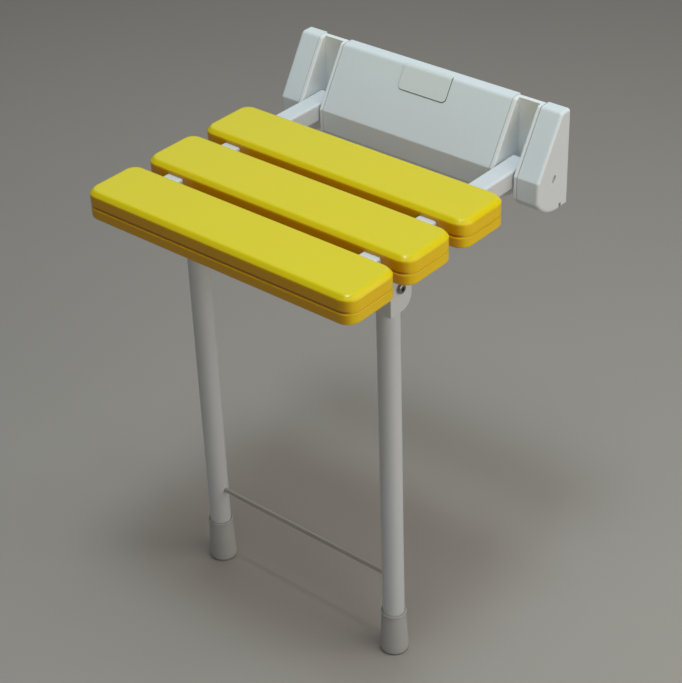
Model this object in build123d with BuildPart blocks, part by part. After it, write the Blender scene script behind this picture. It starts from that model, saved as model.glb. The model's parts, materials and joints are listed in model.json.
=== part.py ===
from build123d import *
import os
from math import hypot

# Wall-mounted folding shower seat: a wedge-shaped wall bracket, two arms that swing up between its
# hinge cheeks, three slats on the arms, and two hinged legs that a thin rod ties together.
# Millimetres. The origin is on the wall, at the middle of the bracket: +X right, +Y into the wall, +Z up.

# Wall bracket, seen from the side as a wedge
bracket_inset = 1.0  # end of the slats to the end of the bracket
bracket_height = 100.0
bracket_depth = 48.2  # wall to the front lip
bracket_top_depth = 12.0  # wall to the start of the sloping face
lip_rise = 41.0  # underside of the bracket to the upper edge of the lip
lip_height = 22.5
under_flat = 14.0  # flat part of the underside, next to the wall
top_round = 5.0  # rounding of the upper edge
lip_round = 3.0
cover_wall = 2.5
cover_end_round = 3.0
cover_gap = 0.5  # seam between a cover and a hinge cheek
rib_thick = 2.0
rib_count = 4
rib_pitch = 46.0
rib_hole = 11.0  # radius of the lightening hole in a rib
rib_hole_out = 21.0  # its centre, out from the wall
end_rib_inset = 7.0  # end face of the bracket to the rib inside it
tab_height = 9.0
tab_spread = 58.0  # between the upper and the lower tabs of a rib
tab_setback = 0.5  # tip of a tab to the wall
tab_fit = 0.3
pin_window_length = 8.0
pin_window_width = 4.5
pin_window_tilt = 62.0
notch_width = 3.5
notch_height = 6.0
notch_out = 11.0

# Blank plate on the sloping face
badge_width = 57.0
badge_height = 25.3  # upper edge of the slope to the lower edge of the plate
badge_over = 8.0  # length past the upper edge, trimmed to the outline of the bracket
badge_offset = 4.0  # middle of the bracket to the middle of the plate
badge_corner = 4.5
badge_recess = 0.9
badge_proud = 0.9
badge_gap = 0.4

# Steel plate on the wall
plate_thick = 3.0
plate_gap = 0.3  # plate edge to the covers
plate_corner = 4.0
wall_hole_dia = 6.5
wall_hole_inset = 14.0  # end of the bracket to the wall holes
wall_hole_rise = 44.0

# Hinge brackets and their pins
cheek_thick = 4.0
cheek_round = 1.2
hinge_web = 5.0
hinge_floor = 4.0
hinge_floor_gap = 3.5  # front of the floor to the folded leg
hinge_screw_dia = 5.0
hinge_screw_head = 9.6
hinge_screw_spread = 70.0
hinge_screw_depth = 3.5  # thread length in the web
pivot_out = 22.5  # wall to the seat pivot
pivot_rise = 36.0  # underside of the bracket to the seat pivot
pin_dia = 8.0
pin_head_dia = 12.0
pin_head = 2.5
pin_tail = 4.0  # length past the outer cheek
clip_dia = 12.0
clip_thick = 1.0
clip_groove = 0.8  # depth of the groove under the clip
bush_wall = 2.0
bush_flange_rim = 0.5  # arm edge to the flange
bush_flange_min = 0.8
bush_length = 6.0

# Arms
arm_inset = 40.6  # end of a slat to the middle of an arm
arm_width = 20.0
arm_height = 19.0
arm_wall = 2.0
arm_corner = 2.3
arm_fit = 0.3
arm_under_gap = 0.2

# Slats
slat_length = 318.0
slat_depth = 66.0
slat_gap = 12.5
slat_top_height = 14.2
slat_corner = 14.0
slat_chamfer = 4.0  # bevel along the upper edge
slat_soft = 1.3  # rounding on each side of the bevel
slat_under_edge = 2.5
slat_from_wall = 98.0
slat_groove = 2.8
slat_groove_depth = 0.9
slat_ridge = 1.5  # rounding under the groove
slat_wall = 2.5
slat_skin = 3.5
base_wall = 1.8
base_skin = 1.6
seat_above_pivot = 17.0
slat_rib = 1.8
slat_long_rib = 11.0  # middle of the slat to each long rib
slat_cross_ribs = (0.0, 30.0, 70.0)  # ribs in the middle of the slat
slat_arm_rib = 17.0  # middle of an arm to the ribs beside it
rib_relief = 0.5
slat_screw_middle = 50.0  # middle of the slat to its inner screws
slat_screw_end = 13.0  # end of the slat to its outer screws
slat_screw_dia = 2.8
slat_screw_head_dia = 6.0
slat_screw_head = 2.0
slat_screw_bite = 9.0
boss_dia = 8.0
screw_recess = 3.0
screw_fit = 0.1
arm_screw_dia = 3.8
screw_drive = 0.6  # span of the cross recess, as a share of the head
screw_drive_width = 0.9
screw_drive_depth = 1.2
arm_screw_head_dia = 7.0
arm_screw_head = 2.4
arm_screw_length = 9.0
arm_screw_back = 20.0  # middle of a slat to its arm screws, towards the wall

# Legs
seat_height = 480.0  # floor to the top of the slats
leg_ahead = 12.0  # middle of the middle slat to the leg, away from the wall
leg_drop = 29.7  # seat pivot to leg pivot
leg_dia = 22.0
leg_wall = 1.5
leg_nest_gap = 0.5  # leg to each hinge cheek when folded
leg_insert = 12.5  # length of the leg tube inside the fork
lug_step = 0.2  # surface of the leg in to the rounded end of the lug
lug_width = 20.0
lug_wall = 3.0
lug_fit = 0.6
fork_wall = 2.8
fork_web = 2.4
fork_floor = 2.5
fork_low = 25.5  # leg pivot to the underside of the fork
fork_top = 12.5
fork_rear = 16.5
fork_taper = 11.4  # leg pivot to the start of the curved rear edge
fork_round = 9.0
fork_edge = 0.8
fork_side_gap = 0.4
stop_gap = 0.4
leg_bolt_dia = 6.0
leg_bolt_head_dia = 10.5
leg_bolt_head = 3.3
leg_bolt_dome = 2.0
leg_bolt_socket = 4.0
leg_bolt_tail = 1.5
spacer_dia = 10.0
nut_flats = 10.0
nut_height = 6.0
washer_dia = 12.0
washer_thick = 1.2
bolt_fit = 0.1
foot_height = 50.0
foot_sole = 6.0
foot_wall = 1.3
foot_flare = 2.5  # how far the foot widens on each side
foot_round = 3.0
foot_bead = 3.4  # height of the bead round the top
foot_bead_out = 0.7
foot_bead_round = 1.2
foot_mouth = 0.5  # bevel inside the top
foot_groove_in = 6.0
foot_groove_out = 9.0
foot_groove_depth = 1.2
tie_rod_dia = 5.0
tie_rod_rise = 92.0
tie_rod_end_gap = 0.8

# Running fits
running = 0.05  # radial clearance of a turning pin
seating = 0.02  # radial clearance of a fixed pin
side_gap = 0.3  # between a turning face and the face beside it
cut_over = 1.0  # length by which a cut passes the face it opens

# Levels and places worked out from the sizes above
bracket_width = slat_length - 2 * bracket_inset
bracket_top = bracket_height / 2
bracket_bottom = -bracket_height / 2
lip_top = bracket_bottom + lip_rise
lip_bottom = lip_top - lip_height
pivot_y = -pivot_out
pivot_z = bracket_bottom + pivot_rise
seat_top = pivot_z + seat_above_pivot
seam_z = seat_top - slat_top_height
floor_z = seat_top - seat_height

arm_x = slat_length / 2 - arm_inset
arm_top = pivot_z + arm_height / 2
arm_bottom = pivot_z - arm_height / 2
seat_bottom = arm_bottom - arm_under_gap - base_skin
slat_thick = seat_top - seat_bottom
slot_width = max(leg_dia + 2 * leg_nest_gap, arm_width + 2 * (bush_flange_min + side_gap))
bush_flange = (slot_width - arm_width) / 2 - side_gap
bush_dia = pin_dia + 2 * (running + bush_wall)
bush_flange_dia = arm_height - 2 * bush_flange_rim
hinge_half = slot_width / 2 + cheek_thick
centre_half = arm_x - hinge_half - cover_gap
end_inner = arm_x + hinge_half + cover_gap
end_outer = bracket_width / 2
wall_hole_span = bracket_width - 2 * wall_hole_inset

slat_pitch = slat_depth + slat_gap
slat_names = ("rear", "middle", "front")
slat_middles = [-(slat_from_wall + slat_depth / 2 + row * slat_pitch) for row in range(len(slat_names))]
seat_front = slat_middles[-1] - slat_depth / 2
arm_end = seat_front + slat_wall + base_wall
slat_screw_out = slat_length / 2 - slat_screw_end
slat_screw_xs = (-slat_screw_out, -slat_screw_middle, slat_screw_middle, slat_screw_out)

leg_y = slat_middles[1] - leg_ahead
leg_z = pivot_z - leg_drop
lug_half = leg_dia / 2 - lug_step
fork_gap = max(lug_width, leg_dia) + 2 * fork_side_gap
fork_front = lug_half + stop_gap + fork_web
fork_half = fork_gap / 2 + fork_wall
leg_top = leg_z - fork_low + leg_insert
leg_bottom = floor_z + foot_sole
foot_bore = leg_dia / 2 + bolt_fit
foot_top = leg_dia / 2 + foot_wall

sides = (("left", -1), ("right", 1))


def save(piece, name):
    """Label a finished piece and write it to its own file."""
    piece.part.label = name
    export_step(piece.part, f"parts/{name}.step")


def wedge(back):
    """Side outline of the bracket, in Y and Z, with its straight back at Y = back."""
    with BuildSketch() as face:
        with BuildLine():
            Polyline(
                (-under_flat, bracket_bottom),
                (back, bracket_bottom),
                (back, bracket_top),
                (-bracket_top_depth, bracket_top),
                (-bracket_depth, lip_top),
                (-bracket_depth, lip_bottom),
            )
            TangentArc((-under_flat, bracket_bottom), (-bracket_depth, lip_bottom), tangent=(-1, 0))
        make_face()
        fillet(face.vertices().sort_by_distance((-bracket_top_depth, bracket_top))[0], top_round)
        fillet(face.vertices().sort_by_distance((-bracket_depth, lip_top))[0], lip_round)
    return face.sketch


def slope_plane(down):
    """Plane on the bracket's sloping face, its origin a length down from the upper edge of the slope."""
    run = bracket_depth - bracket_top_depth
    fall = bracket_top - lip_top
    length = hypot(run, fall)
    origin = (0, -bracket_top_depth - down * run / length, bracket_top - down * fall / length)
    return Plane(origin, x_dir=(1, 0, 0), z_dir=(0, -fall / length, run / length))


os.makedirs("parts", exist_ok=True)

wedge_outer = wedge(0)
wedge_open = wedge(cover_wall + cut_over)
with BuildSketch() as wedge_hollow:
    add(wedge_open)
    offset(amount=-cover_wall, mode=Mode.REPLACE)
with BuildSketch() as wedge_on_plate:
    add(wedge_outer)
    Rectangle(2 * plate_thick, 2 * bracket_height, mode=Mode.SUBTRACT)
with BuildSketch() as wedge_proud:
    add(wedge_outer)
    offset(amount=badge_proud, mode=Mode.REPLACE)

# Cover rib: a web that fills the wedge, with tabs that plug into the wall plate
tab_zs = (-tab_spread / 2, tab_spread / 2)
tab_root = plate_thick + plate_gap
with BuildSketch() as cover_rib:
    add(wedge_outer)
    Rectangle(2 * tab_root, 2 * bracket_height, mode=Mode.SUBTRACT)
    with Locations(*[(-tab_setback, z) for z in tab_zs]):
        Rectangle(tab_root + cut_over, tab_height, align=(Align.MAX, Align.CENTER))
    with Locations((-rib_hole_out, pivot_z)):
        Circle(rib_hole, mode=Mode.SUBTRACT)
centre_rib_xs = [(row - (rib_count - 1) / 2) * rib_pitch for row in range(rib_count)]
end_rib_xs = [sign * (end_outer - end_rib_inset) for sign in (-1, 1)]

# Wall plate
plate_width = bracket_width - 2 * (cover_wall + plate_gap)
plate_height = bracket_height - 2 * (cover_wall + plate_gap)
hinge_screw_zs = (-hinge_screw_spread / 2, hinge_screw_spread / 2)
hinge_screw_spots = [(sign * arm_x, z) for sign in (-1, 1) for z in hinge_screw_zs]
countersink = (hinge_screw_head - hinge_screw_dia) / 2
with BuildPart() as wall_plate:
    with BuildSketch(Plane.XZ):
        RectangleRounded(plate_width, plate_height, plate_corner)
        with GridLocations(wall_hole_span, wall_hole_rise, 2, 2):
            Circle(wall_hole_dia / 2, mode=Mode.SUBTRACT)
        with Locations(*hinge_screw_spots):
            Circle(hinge_screw_dia / 2 + screw_fit, mode=Mode.SUBTRACT)
        with Locations(*[(x, z) for x in centre_rib_xs + end_rib_xs for z in tab_zs]):
            Rectangle(rib_thick + 2 * tab_fit, tab_height + 2 * tab_fit, mode=Mode.SUBTRACT)
    extrude(amount=plate_thick)
    with BuildSketch(Plane.XZ):
        with Locations(*hinge_screw_spots):
            Circle(hinge_screw_head / 2 + screw_fit)
    extrude(amount=countersink, taper=45, mode=Mode.SUBTRACT)
save(wall_plate, "wall_plate")

with BuildPart() as hinge_screws:
    with BuildSketch(Plane.XZ):
        with Locations(*hinge_screw_spots):
            Circle(hinge_screw_head / 2)
    extrude(amount=countersink, taper=45)
    with BuildSketch(Plane.XZ):
        with Locations(*hinge_screw_spots):
            Circle(hinge_screw_dia / 2)
    extrude(amount=plate_thick + hinge_screw_depth)
save(hinge_screws, "hinge_screws")

# Hinge brackets: two cheeks, a web on the wall plate and a floor that the lowered arm rests on
floor_top = arm_bottom - stop_gap
floor_reach = pivot_out + leg_drop - leg_dia / 2 - hinge_floor_gap
web_out = plate_thick + hinge_web
for side, sign in sides:
    with BuildPart() as hinge_bracket:
        for face in (-1, 1):
            with BuildSketch(Plane.YZ.offset(sign * arm_x + face * hinge_half)):
                add(wedge_on_plate.sketch)
            extrude(amount=-face * cheek_thick)
            slot_spot = (sign * arm_x + face * slot_width / 2, pivot_y, pivot_z)
            slot_side = hinge_bracket.faces().filter_by(Axis.X).sort_by_distance(slot_spot)[0]
            fillet(slot_side.edges().filter_by(lambda edge: edge.center().Y < -plate_thick), cheek_round)
        with BuildSketch(Plane.XZ.offset(plate_thick)):
            with Locations((sign * arm_x, 0)):
                Rectangle(2 * hinge_half - cheek_thick, bracket_height)
        extrude(amount=hinge_web)
        with BuildSketch(Plane.XZ.offset(web_out)):
            with Locations((sign * arm_x, floor_top - hinge_floor / 2)):
                Rectangle(slot_width, hinge_floor)
        extrude(amount=floor_reach - web_out)
        with BuildSketch(Plane.YZ.offset(sign * arm_x)):
            with Locations((pivot_y, pivot_z)):
                Circle(pin_dia / 2 + seating)
        extrude(amount=hinge_half, both=True, mode=Mode.SUBTRACT)
        with BuildSketch(Plane.XZ):
            with Locations(*[(sign * arm_x, z) for z in hinge_screw_zs]):
                Circle(hinge_screw_dia / 2 + screw_fit)
        extrude(amount=plate_thick + hinge_screw_depth + screw_fit, mode=Mode.SUBTRACT)
    save(hinge_bracket, f"{side}_hinge_bracket")

# Covers, and the blank plate that runs up over the edge of the middle one
badge_length = badge_height + badge_over
badge_plane = slope_plane((badge_height - badge_over) / 2)
with BuildPart() as centre_cover:
    with BuildSketch(Plane.YZ):
        add(wedge_outer)
    extrude(amount=centre_half, both=True)
    with BuildSketch(Plane.YZ):
        add(wedge_hollow.sketch)
    extrude(amount=centre_half, both=True, mode=Mode.SUBTRACT)
    with BuildSketch(*[Plane.YZ.offset(x) for x in centre_rib_xs]):
        add(cover_rib.sketch)
    extrude(amount=rib_thick / 2, both=True)
    with BuildSketch(badge_plane):
        with Locations((badge_offset, 0)):
            RectangleRounded(
                badge_width + 2 * badge_gap,
                badge_length + 2 * badge_gap,
                badge_corner + badge_gap,
            )
    extrude(amount=-badge_recess, mode=Mode.SUBTRACT)
save(centre_cover, "centre_cover")

with BuildPart() as badge_plate:
    with BuildSketch(badge_plane.offset(-badge_recess)):
        with Locations((badge_offset, 0)):
            RectangleRounded(badge_width, badge_length, badge_corner)
    extrude(amount=badge_recess + badge_proud)
    badge_front = badge_plate.faces().sort_by(Axis(badge_plane.origin, badge_plane.z_dir))[-1]
    fillet(badge_front.edges(), badge_proud / 2)
    with BuildSketch(Plane.YZ.offset(badge_offset)):
        add(wedge_proud.sketch)
    extrude(amount=badge_width, both=True, mode=Mode.INTERSECT)
save(badge_plate, "badge_plate")

for side, sign in sides:
    with BuildPart() as end_cover:
        with BuildSketch(Plane.YZ.offset(sign * end_inner)):
            add(wedge_outer)
        extrude(amount=sign * (end_outer - end_inner))
        end_face = end_cover.faces().sort_by(Axis((0, 0, 0), (sign, 0, 0)))[-1]
        fillet(end_face.edges().filter_by(lambda edge: edge.center().Y < -cover_gap), cover_end_round)
        with BuildSketch(Plane.YZ.offset(sign * end_inner)):
            add(wedge_hollow.sketch)
        extrude(amount=sign * (end_outer - end_inner - cover_wall), mode=Mode.SUBTRACT)
        with BuildSketch(Plane.YZ.offset(sign * (end_outer - end_rib_inset))):
            add(cover_rib.sketch)
        extrude(amount=rib_thick / 2, both=True)
        with BuildSketch(Plane.YZ.offset(sign * (end_outer - cover_wall))):
            with Locations((pivot_y, pivot_z)):
                SlotOverall(pin_window_length, pin_window_width, rotation=pin_window_tilt)
            with Locations((-notch_out, bracket_bottom + notch_height / 2)):
                Rectangle(notch_width, notch_height)
        extrude(amount=sign * 2 * cover_wall, both=True, mode=Mode.SUBTRACT)
    save(end_cover, f"{side}_cover")

# Seat pivots
for side, sign in sides:
    with BuildPart() as pivot_pin:
        with BuildSketch(Plane.YZ.offset(sign * (arm_x - hinge_half))):
            with Locations((pivot_y, pivot_z)):
                Circle(pin_dia / 2)
        extrude(amount=sign * (2 * hinge_half + pin_tail))
        with BuildSketch(Plane.YZ.offset(sign * (arm_x - hinge_half))):
            with Locations((pivot_y, pivot_z)):
                Circle(pin_head_dia / 2)
        extrude(amount=-sign * pin_head)
        with BuildSketch(Plane.YZ.offset(sign * (arm_x + hinge_half))):
            with Locations((pivot_y, pivot_z)):
                Circle(pin_dia / 2)
                Circle(pin_dia / 2 - clip_groove, mode=Mode.SUBTRACT)
        extrude(amount=sign * (clip_thick + seating), mode=Mode.SUBTRACT)
    save(pivot_pin, f"{side}_pivot_pin")

    with BuildPart() as pivot_bushes:
        for face in (-1, 1):
            with BuildSketch(Plane.YZ.offset(sign * arm_x + face * arm_width / 2)):
                with Locations((pivot_y, pivot_z)):
                    Circle(bush_flange_dia / 2)
            extrude(amount=face * bush_flange)
            with BuildSketch(Plane.YZ.offset(sign * arm_x + face * arm_width / 2)):
                with Locations((pivot_y, pivot_z)):
                    Circle(bush_dia / 2)
            extrude(amount=-face * bush_length)
        with BuildSketch(Plane.YZ.offset(sign * arm_x)):
            with Locations((pivot_y, pivot_z)):
                Circle(pin_dia / 2 + running)
        extrude(amount=slot_width, both=True, mode=Mode.SUBTRACT)
    save(pivot_bushes, f"{side}_pivot_bushes")

with BuildPart() as pin_clips:
    for side, sign in sides:
        with BuildSketch(Plane.YZ.offset(sign * (arm_x + hinge_half))):
            with Locations((pivot_y, pivot_z)):
                Circle(clip_dia / 2)
                Circle(pin_dia / 2 - clip_groove + seating, mode=Mode.SUBTRACT)
        extrude(amount=sign * clip_thick)
save(pin_clips, "pin_clips")

# Arms: rectangular tubes with a rounded tail about the seat pivot
arm_screw_ys = [middle + arm_screw_back for middle in slat_middles]
for side, sign in sides:
    with BuildPart() as arm:
        with BuildSketch(Plane.XZ.offset(pivot_out - arm_height / 2)):
            with Locations((sign * arm_x, pivot_z)):
                RectangleRounded(arm_width, arm_height, arm_corner)
                RectangleRounded(
                    arm_width - 2 * arm_wall,
                    arm_height - 2 * arm_wall,
                    arm_corner - arm_wall,
                    mode=Mode.SUBTRACT,
                )
        extrude(amount=-arm_end - pivot_out + arm_height / 2)
        with BuildSketch(Plane.YZ.offset(sign * arm_x)):
            with Locations((pivot_y, pivot_z)):
                Rectangle(arm_height, arm_height, align=(Align.MIN, Align.CENTER))
                Circle(arm_height / 2, mode=Mode.SUBTRACT)
        extrude(amount=arm_width, both=True, mode=Mode.SUBTRACT)
        with BuildSketch(Plane.YZ.offset(sign * arm_x)):
            with Locations((pivot_y, pivot_z)):
                Circle(bush_dia / 2 + seating)
        extrude(amount=arm_width, both=True, mode=Mode.SUBTRACT)
        with BuildSketch(Plane.XY.offset(arm_bottom)):
            with Locations(*[(sign * arm_x, y) for y in arm_screw_ys]):
                Circle(arm_screw_dia / 2 + screw_fit)
        extrude(amount=2 * arm_wall, both=True, mode=Mode.SUBTRACT)
    save(arm, f"{side}_arm")

# Slats: an upper and a lower shell, ribbed inside, that clamp the arms between them
for name, middle in zip(slat_names, slat_middles):
    back = middle + slat_depth / 2 + cut_over
    front = arm_end - arm_fit if name == slat_names[-1] else middle - slat_depth / 2 - cut_over
    channel_spots = [(sign * arm_x, (back + front) / 2) for side, sign in sides]
    rib_outs = slat_cross_ribs + (arm_x - slat_arm_rib, arm_x + slat_arm_rib)
    rib_xs = sorted({sign * x for x in rib_outs for sign in (-1, 1)})
    screw_spots = [(x, middle) for x in slat_screw_xs]

    with BuildPart() as slat_top:
        with BuildSketch(Plane.XY.offset(seam_z)):
            with Locations((0, middle)):
                RectangleRounded(slat_length, slat_depth, slat_corner)
        extrude(amount=slat_top_height)
        chamfer(slat_top.faces().sort_by(Axis.Z)[-1].edges(), slat_chamfer)
        fillet(slat_top.edges().group_by(Axis.Z)[-1], slat_soft)
        fillet(slat_top.edges().group_by(Axis.Z)[2], slat_soft)
        with BuildSketch(Plane.XY.offset(seam_z)):
            with Locations((0, middle)):
                RectangleRounded(
                    slat_length - 2 * slat_wall,
                    slat_depth - 2 * slat_wall,
                    slat_corner - slat_wall,
                )
        extrude(amount=slat_top_height - slat_skin, mode=Mode.SUBTRACT)
        with BuildSketch(Plane.XY.offset(seam_z + rib_relief)):
            with Locations((0, middle - slat_long_rib), (0, middle + slat_long_rib)):
                Rectangle(slat_length - slat_wall, slat_rib)
            with Locations(*[(x, middle) for x in rib_xs]):
                Rectangle(slat_rib, slat_depth - slat_wall)
        extrude(amount=slat_top_height - slat_skin)
        with BuildSketch(Plane.XY.offset(seam_z)):
            with Locations(*screw_spots):
                Circle(boss_dia / 2)
        extrude(amount=slat_top_height - slat_skin / 2)
        with BuildSketch(Plane.XY.offset(seam_z)):
            with Locations(*screw_spots):
                Circle(slat_screw_dia / 2 + screw_fit)
        extrude(amount=slat_screw_bite + rib_relief, mode=Mode.SUBTRACT)
        with BuildSketch(Plane.XY.offset(seam_z - cut_over)):
            with Locations(*channel_spots):
                Rectangle(arm_width + 2 * arm_fit, back - front)
        extrude(amount=arm_top + arm_fit - seam_z + cut_over, mode=Mode.SUBTRACT)
    save(slat_top, f"{name}_slat_top")

    base_height = slat_thick - slat_top_height
    base_step = base_height - slat_groove
    hollow_inset = slat_groove_depth + base_wall
    with BuildPart() as slat_base:
        with BuildSketch(Plane.XY.offset(seat_bottom)):
            with Locations((0, middle)):
                RectangleRounded(slat_length, slat_depth, slat_corner)
        extrude(amount=base_step)
        fillet(slat_base.faces().sort_by(Axis.Z)[0].edges(), slat_under_edge)
        fillet(slat_base.faces().sort_by(Axis.Z)[-1].edges(), slat_ridge)
        with BuildSketch(Plane.XY.offset(seam_z)):
            with Locations((0, middle)):
                RectangleRounded(
                    slat_length - 2 * slat_groove_depth,
                    slat_depth - 2 * slat_groove_depth,
                    slat_corner - slat_groove_depth,
                )
        extrude(amount=-slat_groove - slat_ridge)
        with BuildSketch(Plane.XY.offset(seat_bottom + base_skin)):
            with Locations((0, middle)):
                RectangleRounded(
                    slat_length - 2 * hollow_inset,
                    slat_depth - 2 * hollow_inset,
                    slat_corner - hollow_inset,
                )
        extrude(amount=base_height, mode=Mode.SUBTRACT)
        with BuildSketch(Plane.XY.offset(seat_bottom + base_skin / 2)):
            with Locations((0, middle - slat_long_rib), (0, middle + slat_long_rib)):
                Rectangle(slat_length - hollow_inset - slat_groove_depth, slat_rib)
            with Locations(*[(x, middle) for x in rib_xs]):
                Rectangle(slat_rib, slat_depth - hollow_inset - slat_groove_depth)
        extrude(amount=base_height - base_skin / 2 - rib_relief)
        with BuildSketch(Plane.XY.offset(seat_bottom + base_skin / 2)):
            with Locations(*screw_spots):
                Circle(slat_screw_head_dia / 2 + base_wall)
        extrude(amount=base_height - base_skin / 2)
        with BuildSketch(Plane.XY.offset(seat_bottom)):
            with Locations(*screw_spots):
                Circle(slat_screw_dia / 2 + 2 * screw_fit)
        extrude(amount=base_height, mode=Mode.SUBTRACT)
        with BuildSketch(Plane.XY.offset(seat_bottom)):
            with Locations(*screw_spots):
                Circle(slat_screw_head_dia / 2 + 2 * screw_fit)
        extrude(amount=screw_recess, mode=Mode.SUBTRACT)
        with BuildSketch(Plane.XY.offset(seat_bottom + base_skin)):
            with Locations(*channel_spots):
                Rectangle(arm_width + 2 * arm_fit, back - front)
        extrude(amount=base_height, mode=Mode.SUBTRACT)
        with BuildSketch(Plane.XY.offset(seat_bottom)):
            with Locations(*[(sign * arm_x, middle + arm_screw_back) for side, sign in sides]):
                Circle(arm_screw_dia / 2 + 2 * screw_fit)
            if name == "middle":
                with Locations(*[(sign * arm_x, leg_y) for side, sign in sides]):
                    Rectangle(lug_width + 2 * lug_fit, 2 * (lug_half + lug_fit))
        extrude(amount=arm_bottom - seat_bottom, both=True, mode=Mode.SUBTRACT)
    save(slat_base, f"{name}_slat_base")

with BuildPart() as slat_screws:
    spots = [(x, middle) for middle in slat_middles for x in slat_screw_xs]
    with BuildSketch(Plane.XY.offset(seat_bottom + screw_recess)):
        with Locations(*spots):
            Circle(slat_screw_head_dia / 2)
    extrude(amount=-slat_screw_head)
    with BuildSketch(Plane.XY.offset(seat_bottom + screw_recess - slat_screw_head)):
        with Locations(*spots):
            Rectangle(screw_drive * slat_screw_head_dia, screw_drive_width)
            Rectangle(screw_drive_width, screw_drive * slat_screw_head_dia)
    extrude(amount=screw_drive_depth, mode=Mode.SUBTRACT)
    with BuildSketch(Plane.XY.offset(seat_bottom + screw_recess)):
        with Locations(*spots):
            Circle(slat_screw_dia / 2)
    extrude(amount=slat_thick - slat_top_height - screw_recess + slat_screw_bite)
save(slat_screws, "slat_screws")

with BuildPart() as arm_screws:
    spots = [(sign * arm_x, y) for y in arm_screw_ys for side, sign in sides]
    with BuildSketch(Plane.XY.offset(seat_bottom)):
        with Locations(*spots):
            Circle(arm_screw_head_dia / 2)
    extrude(amount=-arm_screw_head)
    with BuildSketch(Plane.XY.offset(seat_bottom - arm_screw_head)):
        with Locations(*spots):
            Rectangle(screw_drive * arm_screw_head_dia, screw_drive_width)
            Rectangle(screw_drive_width, screw_drive * arm_screw_head_dia)
    extrude(amount=screw_drive_depth, mode=Mode.SUBTRACT)
    with BuildSketch(Plane.XY.offset(seat_bottom)):
        with Locations(*spots):
            Circle(arm_screw_dia / 2)
    extrude(amount=arm_screw_length)
save(arm_screws, "arm_screws")

# Leg hinges
for side, sign in sides:
    side_plane = Plane.YZ.offset(sign * arm_x)

    with BuildPart() as leg_lug:
        with BuildSketch(side_plane):
            with Locations((leg_y, leg_z)):
                Circle(lug_half)
                Rectangle(2 * lug_half, arm_bottom - leg_z, align=(Align.CENTER, Align.MIN))
        extrude(amount=lug_width / 2, both=True)
        with BuildSketch(side_plane):
            with Locations((leg_y - lug_half + lug_wall, arm_bottom - lug_wall)):
                Rectangle(2 * lug_half, arm_bottom - leg_z + lug_half, align=(Align.MIN, Align.MAX))
        extrude(amount=lug_width / 2 - lug_wall, both=True, mode=Mode.SUBTRACT)
        with BuildSketch(side_plane):
            with Locations((leg_y, leg_z)):
                Circle(spacer_dia / 2 + running)
        extrude(amount=lug_width, both=True, mode=Mode.SUBTRACT)
    save(leg_lug, f"{side}_leg_lug")

    with BuildPart() as leg_spacer:
        with BuildSketch(side_plane):
            with Locations((leg_y, leg_z)):
                Circle(spacer_dia / 2)
                Circle(leg_bolt_dia / 2 + bolt_fit, mode=Mode.SUBTRACT)
        extrude(amount=fork_gap / 2 - seating, both=True)
    save(leg_spacer, f"{side}_leg_spacer")

    with BuildPart() as leg_fork:
        with BuildSketch(side_plane):
            with BuildLine():
                front_foot = (leg_y - fork_front, leg_z - fork_low)
                rear_turn = (leg_y + fork_rear, leg_z - fork_taper)
                rear_foot = (leg_y + fork_rear - fork_low + fork_taper, leg_z - fork_low)
                FilletPolyline(
                    front_foot,
                    (leg_y - fork_front, leg_z + fork_top),
                    (leg_y + fork_rear, leg_z + fork_top),
                    rear_turn,
                    radius=fork_round,
                )
                TangentArc(rear_turn, rear_foot, tangent=(0, -1))
                Line(rear_foot, front_foot)
            make_face()
        extrude(amount=fork_half, both=True)
        fillet(leg_fork.faces().filter_by(Axis.X).edges(), fork_edge)
        with BuildSketch(side_plane):
            with Locations((leg_y - fork_front + fork_web, leg_z - fork_low + fork_floor)):
                Rectangle(fork_front + fork_rear, fork_low + fork_top, align=Align.MIN)
        extrude(amount=fork_gap / 2, both=True, mode=Mode.SUBTRACT)
        with BuildSketch(side_plane):
            with Locations((leg_y, leg_z)):
                Circle(leg_bolt_dia / 2 + bolt_fit)
        extrude(amount=fork_half, both=True, mode=Mode.SUBTRACT)
        with BuildSketch(Plane.XY.offset(leg_z - fork_low)):
            with Locations((sign * arm_x, leg_y)):
                Circle(leg_dia / 2 + bolt_fit)
        extrude(amount=fork_floor, both=True, mode=Mode.SUBTRACT)
    save(leg_fork, f"{side}_leg_fork")

    with BuildPart() as leg_bolt:
        with BuildSketch(Plane.YZ.offset(sign * (arm_x + fork_half))):
            with Locations((leg_y, leg_z)):
                Circle(leg_bolt_dia / 2)
        extrude(amount=-sign * (2 * fork_half + washer_thick + nut_height + leg_bolt_tail))
        with BuildSketch(Plane.YZ.offset(sign * (arm_x + fork_half))):
            with Locations((leg_y, leg_z)):
                Circle(leg_bolt_head_dia / 2)
        extrude(amount=sign * leg_bolt_head)
        head_face = leg_bolt.faces().sort_by(Axis((0, 0, 0), (sign, 0, 0)))[-1]
        fillet(head_face.edges(), leg_bolt_dome)
        with BuildSketch(Plane.YZ.offset(sign * (arm_x + fork_half + leg_bolt_head))):
            with Locations((leg_y, leg_z)):
                RegularPolygon(leg_bolt_socket / 2, 6, major_radius=False)
        extrude(amount=-sign * leg_bolt_head / 2, mode=Mode.SUBTRACT)
    save(leg_bolt, f"{side}_leg_bolt")

with BuildPart() as leg_washers:
    for side, sign in sides:
        with BuildSketch(Plane.YZ.offset(sign * (arm_x - fork_half))):
            with Locations((leg_y, leg_z)):
                Circle(washer_dia / 2)
                Circle(leg_bolt_dia / 2 + bolt_fit, mode=Mode.SUBTRACT)
        extrude(amount=-sign * washer_thick)
save(leg_washers, "leg_washers")

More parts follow.
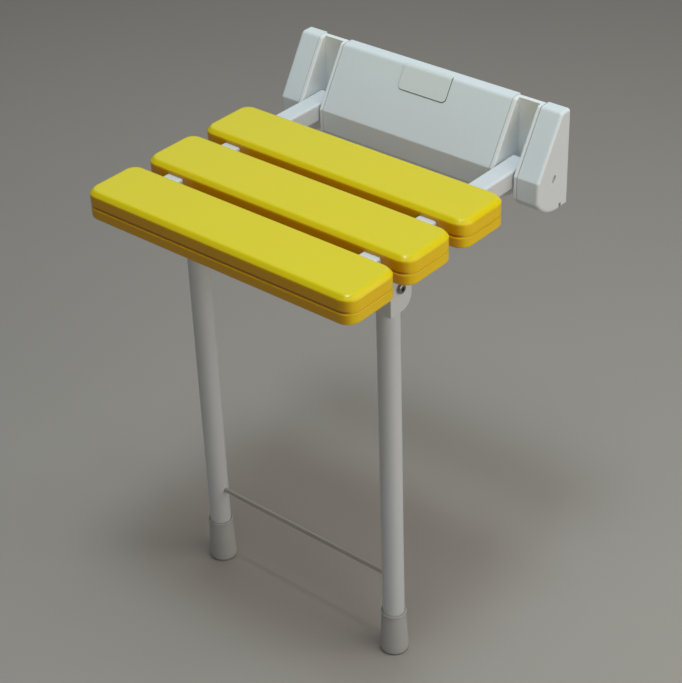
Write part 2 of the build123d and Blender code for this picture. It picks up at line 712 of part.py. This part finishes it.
with BuildPart() as leg_nuts:
    for side, sign in sides:
        with BuildSketch(Plane.YZ.offset(sign * (arm_x - fork_half - washer_thick))):
            with Locations((leg_y, leg_z)):
                RegularPolygon(nut_flats / 2, 6, major_radius=False)
                Circle(leg_bolt_dia / 2 + seating, mode=Mode.SUBTRACT)
        extrude(amount=-sign * nut_height)
save(leg_nuts, "leg_nuts")

# Half section of a foot, about its own axis
bead_low = foot_height - foot_bead
bead_edge = foot_top + foot_bead_out
with BuildSketch() as foot_section:
    with BuildLine():
        Polyline(
            (0, 0),
            (foot_top + foot_flare, 0),
            (foot_top, bead_low),
            (bead_edge, bead_low),
            (bead_edge, foot_height),
            (foot_bore, foot_height),
            (foot_bore, foot_sole),
            (0, foot_sole),
            close=True,
        )
    make_face()
    fillet(foot_section.vertices().sort_by_distance((foot_top + foot_flare, 0))[0], foot_round)
    fillet(foot_section.vertices().sort_by_distance((bead_edge, foot_height))[0], foot_bead_round)
    fillet(foot_section.vertices().sort_by_distance((bead_edge, bead_low))[0], foot_bead_round / 2)
    chamfer(foot_section.vertices().sort_by_distance((foot_bore, foot_height))[0], foot_mouth)

# Legs, feet and tie rod
tie_rod_z = floor_z + tie_rod_rise
for side, sign in sides:
    with BuildPart() as leg_tube:
        with BuildSketch(Plane.XY.offset(leg_bottom)):
            with Locations((sign * arm_x, leg_y)):
                Circle(leg_dia / 2)
                Circle(leg_dia / 2 - leg_wall, mode=Mode.SUBTRACT)
        extrude(amount=leg_top - leg_bottom)
        with BuildSketch(Plane.YZ.offset(sign * arm_x)):
            with Locations((leg_y, tie_rod_z)):
                Circle(tie_rod_dia / 2 + bolt_fit)
        extrude(amount=-sign * leg_dia, mode=Mode.SUBTRACT)
    save(leg_tube, f"{side}_leg_tube")

    with BuildPart() as foot:
        with BuildSketch(Plane((sign * arm_x, leg_y, floor_z), x_dir=(1, 0, 0), z_dir=(0, -1, 0))):
            add(foot_section.sketch)
        revolve(axis=Axis((sign * arm_x, leg_y, floor_z), (0, 0, 1)))
        with BuildSketch(Plane.XY.offset(floor_z)):
            with Locations((sign * arm_x, leg_y)):
                Circle(foot_groove_out)
                Circle(foot_groove_in, mode=Mode.SUBTRACT)
        extrude(amount=foot_groove_depth, mode=Mode.SUBTRACT)
    save(foot, f"{side}_foot")

tie_rod_half = arm_x + leg_dia / 2 - leg_wall - tie_rod_end_gap
with BuildPart() as tie_rod:
    with BuildSketch(Plane.YZ):
        with Locations((leg_y, tie_rod_z)):
            Circle(tie_rod_dia / 2)
    extrude(amount=tie_rod_half, both=True)
save(tie_rod, "tie_rod")
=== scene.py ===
import json
import math

import bmesh
import bpy
from mathutils import Matrix, Vector


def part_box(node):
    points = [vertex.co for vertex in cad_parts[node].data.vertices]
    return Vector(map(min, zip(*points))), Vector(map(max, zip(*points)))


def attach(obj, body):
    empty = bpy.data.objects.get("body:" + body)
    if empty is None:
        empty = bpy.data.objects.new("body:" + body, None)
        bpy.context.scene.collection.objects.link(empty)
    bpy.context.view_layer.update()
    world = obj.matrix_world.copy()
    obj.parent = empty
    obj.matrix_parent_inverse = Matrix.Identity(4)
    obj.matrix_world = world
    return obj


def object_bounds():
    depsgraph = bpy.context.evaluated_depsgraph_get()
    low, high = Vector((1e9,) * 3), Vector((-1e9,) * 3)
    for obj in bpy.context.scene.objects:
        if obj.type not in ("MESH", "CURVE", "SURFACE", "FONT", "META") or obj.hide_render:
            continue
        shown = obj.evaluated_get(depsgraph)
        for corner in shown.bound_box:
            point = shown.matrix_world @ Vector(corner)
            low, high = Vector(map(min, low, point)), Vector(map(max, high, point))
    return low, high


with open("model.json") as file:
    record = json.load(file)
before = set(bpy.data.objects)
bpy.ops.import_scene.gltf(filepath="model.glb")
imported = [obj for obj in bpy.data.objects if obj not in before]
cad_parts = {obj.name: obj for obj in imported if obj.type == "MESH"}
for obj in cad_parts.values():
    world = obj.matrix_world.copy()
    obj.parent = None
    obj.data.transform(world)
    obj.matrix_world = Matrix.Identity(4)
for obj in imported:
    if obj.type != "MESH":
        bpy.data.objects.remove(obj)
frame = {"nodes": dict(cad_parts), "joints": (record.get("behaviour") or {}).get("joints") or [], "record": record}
cad_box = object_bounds()
nodes = frame["nodes"]
scene = bpy.context.scene

# Places taken from the frame, in metres
sole_z = cad_box[0][2]
seam_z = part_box("front_slat_top")[0][2]  # where the two shells of a slat meet
cover_end_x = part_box("right_cover")[1][0]
joint_places = {joint["name"]: joint["pos_m"] for joint in frame["joints"]}
pivot_y, pivot_z = joint_places["seat_fold"][1:]

NOISE_LOW, NOISE_HIGH = 0.3, 0.7  # most of a noise texture lies between these values


# Node-tree helpers

def new_material(name):
    """A material with its tree, its shader and a texture position in row-frame metres."""
    mat = bpy.data.materials.new(name)
    mat.use_nodes = True
    tree = mat.node_tree
    shader = tree.nodes["Principled BSDF"]
    place = tree.nodes.new("ShaderNodeTexCoord").outputs["Object"]
    return mat, tree, shader, place


def face_direction(tree):
    """The direction a face looks in, which turns with its body."""
    return tree.nodes.new("ShaderNodeTexCoord").outputs["Normal"]


def stretched(tree, place, scale):
    """The texture position multiplied by a different number along each axis."""
    mapping = tree.nodes.new("ShaderNodeMapping")
    mapping.inputs["Scale"].default_value = scale
    tree.links.new(place, mapping.inputs["Vector"])
    return mapping.outputs["Vector"]


def noise(tree, place, scale, detail=3.0, rough=0.5):
    tex = tree.nodes.new("ShaderNodeTexNoise")
    tex.inputs["Scale"].default_value = scale
    tex.inputs["Detail"].default_value = detail
    tex.inputs["Roughness"].default_value = rough
    tree.links.new(place, tex.inputs["Vector"])
    return tex.outputs["Fac"]


def ranged(tree, value, low, high, to_low=0.0, to_high=1.0):
    """A value spread from one range to another, held inside it."""
    span = tree.nodes.new("ShaderNodeMapRange")
    span.inputs["From Min"].default_value = low
    span.inputs["From Max"].default_value = high
    span.inputs["To Min"].default_value = to_low
    span.inputs["To Max"].default_value = to_high
    tree.links.new(value, span.inputs["Value"])
    return span.outputs["Result"]


def spread(tree, texture, to_low=0.0, to_high=1.0):
    """A noise texture spread over a range."""
    return ranged(tree, texture, NOISE_LOW, NOISE_HIGH, to_low, to_high)


def math_node(tree, operation, a, b):
    step = tree.nodes.new("ShaderNodeMath")
    step.operation = operation
    for socket, value in zip(step.inputs, (a, b)):
        if isinstance(value, (int, float)):
            socket.default_value = value
        else:
            tree.links.new(value, socket)
    return step.outputs["Value"]


def product(tree, a, b):
    return math_node(tree, "MULTIPLY", a, b)


def mixed(tree, factor, first, second):
    """One colour into another by a factor."""
    mix = tree.nodes.new("ShaderNodeMix")
    mix.data_type = "RGBA"
    tree.links.new(factor, mix.inputs["Factor"])
    for name, value in (("A", first), ("B", second)):
        socket = [s for s in mix.inputs if s.name == name and s.type == "RGBA"][0]
        if isinstance(value, tuple):
            socket.default_value = (*value, 1.0)
        else:
            tree.links.new(value, socket)
    return [s for s in mix.outputs if s.type == "RGBA"][0]


def bumped(tree, shader, relief, strength, distance, under=None):
    """Bump on the shader's normal, over another normal where one is given."""
    bump = tree.nodes.new("ShaderNodeBump")
    bump.inputs["Strength"].default_value = strength
    bump.inputs["Distance"].default_value = distance
    tree.links.new(relief, bump.inputs["Height"])
    if under is not None:
        tree.links.new(under, bump.inputs["Normal"])
    tree.links.new(bump.outputs["Normal"], shader.inputs["Normal"])
    return bump.outputs["Normal"]


def split_axes(tree, vector):
    axes = tree.nodes.new("ShaderNodeSeparateXYZ")
    tree.links.new(vector, axes.inputs["Vector"])
    return axes.outputs


def rise(tree, vector, low, high):
    """0 where the vector's Z is under low, 1 where it is over high, and between them in between."""
    return ranged(tree, split_axes(tree, vector)["Z"], low, high)


def band(tree, place, low, high):
    """1 between two heights and 0 outside them."""
    lower_blend, upper_blend = 0.0004, 0.0001
    above = rise(tree, place, low, low + lower_blend)
    over_top = rise(tree, place, high - upper_blend, high)
    return product(tree, above, math_node(tree, "SUBTRACT", 1.0, over_top))


def rounded_edges(tree, radius, where=None):
    """A normal that turns gradually over the edges, everywhere or only where a factor is 1."""
    soft = tree.nodes.new("ShaderNodeBevel")
    soft.samples = 6
    soft.inputs["Radius"].default_value = radius
    if where is None:
        return soft.outputs["Normal"]
    mix = tree.nodes.new("ShaderNodeMix")
    mix.data_type = "VECTOR"
    vectors = [s for s in mix.inputs if s.type == "VECTOR" and s.name in "AB"]
    tree.links.new(where, mix.inputs["Factor"])
    tree.links.new(tree.nodes.new("ShaderNodeNewGeometry").outputs["Normal"], vectors[0])
    tree.links.new(soft.outputs["Normal"], vectors[1])
    return [s for s in mix.outputs if s.type == "VECTOR"][0]


# Materials

def slat_painted_light(tree, skin, place, flow, near_top):
    """Slats with painted light: long sides painted deeper as painted shade, painted shade in the groove and on the
    ledge under it, and tops painted paler and greener as painted top light.
    """
    # painted shade: the long sides take a deeper, more orange colour by face direction
    painted_side_shade_colour = (0.670, 0.345, 0.001)
    # painted shade: a dark band in the groove on the long sides, under the edge of the upper shell
    painted_groove_shade_colour, groove_height = (0.490, 0.185, 0.001), 0.0028
    # painted shade: a darker band on the ledge under the groove, on the slat ends
    painted_ledge_shade_colour, ledge_top, ledge_bottom = (0.730, 0.485, 0.002), 0.0027, 0.0044
    # painted top light: upward faces of the upper shell take a paler, greener yellow, unevenly along the flow
    # marks
    painted_top_light_colour = (0.718, 0.607, 0.005)
    facing = face_direction(tree)
    axes = split_axes(tree, facing)
    long_side = ranged(tree, product(tree, axes["Y"], axes["Y"]), low=0.35, high=0.85)
    end_side = ranged(tree, product(tree, axes["X"], axes["X"]), low=0.15, high=0.45)
    in_groove = product(tree, band(tree, place, seam_z - groove_height, seam_z), long_side)
    on_ledge = product(tree, band(tree, place, seam_z - ledge_bottom, seam_z - ledge_top), end_side)
    on_top = product(tree, rise(tree, facing, low=0.30, high=0.85), near_top)
    uneven = ranged(tree, flow, low=0.2, high=0.7, to_low=1.0, to_high=0.85)
    painted_top_light = product(tree, on_top, uneven)
    skin = mixed(tree, long_side, skin, painted_side_shade_colour)
    skin = mixed(tree, in_groove, skin, painted_groove_shade_colour)
    skin = mixed(tree, on_ledge, skin, painted_ledge_shade_colour)
    return mixed(tree, painted_top_light, skin, painted_top_light_colour)


def badge_painted_shadow(tree, skin, *_):
    """Raised plate: narrow sides painted dark as a painted shadow gap. It has no use for a tint's other arguments.
    """
    painted_shadow_colour = (0.150, 0.165, 0.160)
    front = rise(tree, face_direction(tree), low=0.10, high=0.30)
    # painted shadow: faces that look sideways or down, the plate's narrow sides, are painted dark
    return mixed(tree, front, painted_shadow_colour, skin)


def moulded_plastic(name, colour, deep, rough, grain, gloss=0.5, edge=0.0008, top=None, tint=None):
    """Injection-moulded plastic: faint flow marks in the colour, fine grain, slightly uneven gloss.

    Edges are softened by the radius edge, and where top gives two heights, the softening comes in
    between them. A tint function may change the colour from face to face; the slat and badge tints paint shade and
    light into it."""
    mat, tree, shader, place = new_material(name)
    flow_stretch = (5.0, 16.0, 16.0)  # longer along X
    flow = noise(tree, stretched(tree, place, flow_stretch), scale=1.0, detail=4.0, rough=0.55)
    skin = mixed(tree, ranged(tree, flow, low=0.3, high=0.75), colour, deep)
    near_top = rise(tree, place, *top) if top else None
    if tint:
        skin = tint(tree, skin, place, flow, near_top)
    tree.links.new(skin, shader.inputs["Base Color"])
    smear = noise(tree, place, scale=38.0, detail=4.0, rough=0.6)
    tree.links.new(spread(tree, smear, rough - 0.05, rough + 0.07), shader.inputs["Roughness"])
    peel = noise(tree, place, scale=240.0, detail=2.0)
    fine = noise(tree, place, scale=grain, detail=2.0)
    softened = rounded_edges(tree, edge, near_top)
    peeled = bumped(tree, shader, peel, strength=0.05, distance=0.0006, under=softened)
    bumped(tree, shader, fine, strength=0.06, distance=0.0002, under=peeled)
    shader.inputs["Specular IOR Level"].default_value = gloss
    shader.inputs["IOR"].default_value = 1.48
    return mat


def powder_coat(name, colour, deep, rough):
    """Powder coat on steel: orange-peel skin, with a little tone drift along the tube."""
    mat, tree, shader, place = new_material(name)
    drift = noise(tree, place, scale=9.0)
    smear = noise(tree, place, scale=60.0)
    peel = noise(tree, place, scale=420.0, detail=2.0)
    fine = noise(tree, place, scale=1500.0, detail=1.0)
    tree.links.new(mixed(tree, spread(tree, drift), colour, deep), shader.inputs["Base Color"])
    tree.links.new(spread(tree, smear, rough - 0.04, rough + 0.06), shader.inputs["Roughness"])
    peeled = bumped(tree, shader, peel, strength=0.12, distance=0.0005)
    bumped(tree, shader, fine, strength=0.05, distance=0.0002, under=peeled)
    shader.inputs["IOR"].default_value = 1.5
    return mat


def drawn_steel(name, colour, rough, along):
    """Plain steel with fine lines along one axis, and slightly duller patches."""
    mat, tree, shader, place = new_material(name)
    lines = noise(tree, stretched(tree, place, along), scale=1.0, detail=5.0, rough=0.65)
    dull = noise(tree, place, scale=55.0)
    darkening = 0.78
    darker = tuple(c * darkening for c in colour)
    tree.links.new(mixed(tree, spread(tree, lines), colour, darker), shader.inputs["Base Color"])
    tree.links.new(spread(tree, dull, rough - 0.06, rough + 0.12), shader.inputs["Roughness"])
    bumped(tree, shader, lines, strength=0.1, distance=0.0002)
    shader.inputs["Metallic"].default_value = 1.0
    return mat


def foot_rubber(name, colour, worn):
    """Matt rubber with a fine moulded grain, dusty towards the floor and on the upper rim."""
    mat, tree, shader, place = new_material(name)
    dusty_height = 0.015
    low = ranged(tree, split_axes(tree, place)["Z"], sole_z, sole_z + dusty_height, 1.0, 0.0)
    patches = noise(tree, place, scale=130.0, detail=4.0, rough=0.6)
    fine = noise(tree, place, scale=900.0, detail=2.0)
    dirt = product(tree, low, patches)
    blotch_strength = 0.35
    blotch = product(tree, noise(tree, place, scale=45.0), blotch_strength)
    rim = rise(tree, face_direction(tree), low=0.5, high=0.9)
    dust = math_node(tree, "MAXIMUM", math_node(tree, "MAXIMUM", dirt, blotch), rim)
    tree.links.new(mixed(tree, dust, colour, worn), shader.inputs["Base Color"])
    tree.links.new(spread(tree, patches, to_low=0.62, to_high=0.82), shader.inputs["Roughness"])
    bumped(tree, shader, fine, strength=0.18, distance=0.0004)
    return mat


slat_yellow = moulded_plastic(
    "slat_yellow", (0.865, 0.600, 0.002), (0.835, 0.565, 0.002), rough=0.12, grain=1800.0,
    gloss=0.40, edge=0.0042, top=(seam_z + 0.0027, seam_z + 0.0052), tint=slat_painted_light,
)
cover_white = moulded_plastic(
    "cover_white", (0.720, 0.768, 0.795), (0.696, 0.742, 0.767), rough=0.36, grain=2600.0,
)
badge_cream = moulded_plastic(
    "badge_cream", (0.712, 0.750, 0.748), (0.688, 0.724, 0.720), rough=0.42, grain=2600.0,
    edge=0.0003, tint=badge_painted_shadow,
)
bush_nylon = moulded_plastic(
    "bush_nylon", (0.500, 0.500, 0.480), (0.460, 0.460, 0.440), rough=0.45, grain=2200.0,
)
hinge_cream = powder_coat("hinge_cream", (0.815, 0.835, 0.845), (0.790, 0.808, 0.815), rough=0.40)
# painted light and shade: the arms take a lighter copy of the legs' white, and tube_white is darker as painted
# shade on the legs under the seat
arm_white_painted_light = powder_coat("arm_white_painted_light", (0.660, 0.690, 0.722), (0.636, 0.664, 0.692), rough=0.34)
tube_white = powder_coat("tube_white", (0.625, 0.660, 0.690), (0.600, 0.634, 0.661), rough=0.34)
plate_steel = drawn_steel("plate_steel", (0.560, 0.560, 0.550), 0.42, along=(12.0, 900.0, 420.0))
fixing_steel = drawn_steel("fixing_steel", (0.560, 0.555, 0.545), 0.30, along=(1400.0, 1400.0, 60.0))
rod_steel = drawn_steel("rod_steel", (0.600, 0.590, 0.570), 0.34, along=(20.0, 1600.0, 1600.0))
bolt_chrome = drawn_steel("bolt_chrome", (0.330, 0.320, 0.310), 0.16, along=(900.0, 900.0, 900.0))
rubber_grey = foot_rubber("foot_rubber", (0.455, 0.470, 0.468), worn=(0.335, 0.332, 0.318))

by_slot = {
    "slat_yellow": slat_yellow,
    "cover_white": cover_white,
    "badge_cream": badge_cream,
    "hinge_cream": hinge_cream,
    "tube_white": tube_white,
    "bush_nylon": bush_nylon,
    "plate_steel": plate_steel,
    "fixing_steel": fixing_steel,
    "bolt_chrome": bolt_chrome,
    "foot_rubber": rubber_grey,
}
# the arms get the lighter copy of tube_white, painted light
by_node = {"tie_rod": rod_steel, "left_arm": arm_white_painted_light, "right_arm": arm_white_painted_light}
for part in frame["record"]["subparts"]:
    piece = nodes[part["node"]]
    piece.data.materials.clear()
    piece.data.materials.append(by_node.get(part["node"], by_slot[part["material_slot"]]))


# Plugs in the windows of the end covers

def window_plug(name, sign):
    """A grey nylon plug of stadium shape, set back in the window, with a flange behind the cover's wall. Its grey
    is nylon's colour, kept darker than the cover as painted shade of the window's recess.
    """
    window_length, window_width, window_tilt = 0.0080, 0.0045, math.radians(62.0)
    clearance = 0.00025
    half_run = (window_length - window_width) / 2
    end_radius = window_width / 2 - clearance
    along = Vector((0, math.cos(window_tilt), math.sin(window_tilt)))
    across = Vector((0, -math.sin(window_tilt), math.cos(window_tilt)))
    rings = [  # distance in from the end face, and growth of the outline
        (0.0042, 0.0010), (0.0040, 0.0012), (0.0027, 0.0012), (0.0025, 0.0010),
        (0.0025, 0.0), (0.0012, 0.0), (0.0010, -0.0001), (0.0009, -0.0004),
        (0.0008, -0.0011), (0.0008, -0.0019),
    ]
    steps = 12
    verts, faces = [], []
    for depth, grow in rings:
        centre = Vector((sign * (cover_end_x - depth), pivot_y, pivot_z))
        radius = end_radius + grow
        for end in (1, -1):
            for step in range(steps + 1):
                turn = math.pi * (step / steps - 0.5) + (0 if end > 0 else math.pi)
                run = end * half_run + radius * math.cos(turn)
                verts.append(centre + along * run + across * radius * math.sin(turn))
    count = 2 * (steps + 1)
    for ring in range(len(rings) - 1):
        near, far = ring * count, (ring + 1) * count
        for i in range(count):
            j = (i + 1) % count
            faces.append((near + i, near + j, far + j, far + i))
    faces.append(tuple(range(count)))
    faces.append(tuple(range(len(verts) - count, len(verts))))
    mesh = bpy.data.meshes.new(name)
    mesh.from_pydata(verts, [], faces)
    shape = bmesh.new()
    shape.from_mesh(mesh)
    bmesh.ops.recalc_face_normals(shape, faces=shape.faces)
    shape.to_mesh(mesh)
    shape.free()
    mesh.shade_smooth()
    # painted shade: the plug takes the grey nylon, darker than the cover, for the shade in the window's recess
    mesh.materials.append(bush_nylon)
    plug = bpy.data.objects.new(name, mesh)
    scene.collection.objects.link(plug)
    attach(plug, "wall_bracket")


window_plug("left_window_plug", -1)
window_plug("right_window_plug", 1)


# Floor

floor_gap = 0.0002  # the floor is just under the soles, so the faces don't coincide
floor_reach = 40.0
floor_corners = [(-1, -1), (1, -1), (1, 1), (-1, 1)]
floor_mesh = bpy.data.meshes.new("floor")
floor_mesh.from_pydata(
    [(x * floor_reach, y * floor_reach, sole_z - floor_gap) for x, y in floor_corners],
    [],
    [(0, 1, 2, 3)],
)
floor = bpy.data.objects.new("floor", floor_mesh)
scene.collection.objects.link(floor)
floor_mat, floor_tree, floor_shader, floor_place = new_material("floor")
tone = noise(floor_tree, floor_place, scale=3.0)
floor_colour = mixed(floor_tree, tone, (0.370, 0.342, 0.318), (0.350, 0.323, 0.300))
floor_tree.links.new(floor_colour, floor_shader.inputs["Base Color"])
floor_shader.inputs["Roughness"].default_value = 0.7
floor_mesh.materials.append(floor_mat)


# Camera, at the photograph's viewing angle

AZIMUTH, ELEVATION, ROLL = (math.radians(a) for a in (41.02, 33.6, 2.08))
CAMERA_PLACE = (0.9688, -1.2646, 0.7898)
FOCAL_PX, IMAGE_PX, SENSOR_MM = 1793.0, 683.0, 36.0
back = Vector((
    math.sin(AZIMUTH) * math.cos(ELEVATION),
    -math.cos(AZIMUTH) * math.cos(ELEVATION),
    math.sin(ELEVATION),
))
level = (-back).cross(Vector((0, 0, 1))).normalized()
down = (-back).cross(level)
right = math.cos(ROLL) * level + math.sin(ROLL) * down
lower = -math.sin(ROLL) * level + math.cos(ROLL) * down
turned = Matrix((right, -lower, back)).transposed().to_4x4()
camera = bpy.data.objects.new("camera", bpy.data.cameras.new("camera"))
camera.data.sensor_width = SENSOR_MM
camera.data.lens = FOCAL_PX / IMAGE_PX * SENSOR_MM
camera.matrix_world = Matrix.Translation(CAMERA_PLACE) @ turned
scene.collection.objects.link(camera)
scene.camera = camera


# Light

SEAT_MIDDLE = Vector((0.0, -0.18, 0.0))


def area(name, place, size, power, colour):
    """A rectangular lamp that is turned to the middle of the seat."""
    lamp = bpy.data.lights.new(name, "AREA")
    lamp.shape = "RECTANGLE"
    lamp.size, lamp.size_y = size
    lamp.energy = power
    lamp.color = colour
    holder = bpy.data.objects.new(name, lamp)
    holder.location = place
    holder.rotation_euler = (SEAT_MIDDLE - Vector(place)).to_track_quat("-Z", "Y").to_euler()
    scene.collection.objects.link(holder)


area("overhead", (0.30, -0.32, 2.1), size=(1.5, 1.1), power=19.4, colour=(0.81, 0.96, 1.0))
area("key", (0.20, -0.45, 1.9), size=(0.40, 0.40), power=11.0, colour=(0.82, 0.96, 1.0))
area("right", (1.35, 0.02, 0.40), size=(1.7, 1.3), power=11.2, colour=(1.0, 0.92, 0.83))
area("behind", (-0.66, 0.80, 0.85), size=(1.5, 1.2), power=2.4, colour=(0.90, 1.0, 1.0))
world = bpy.data.worlds.new("studio")
world.use_nodes = True
sky = world.node_tree.nodes["Background"]
sky.inputs["Color"].default_value = (1.0, 0.93, 0.86, 1.0)
sky.inputs["Strength"].default_value = 0.185
scene.world = world
scene.view_settings.view_transform = "Standard"
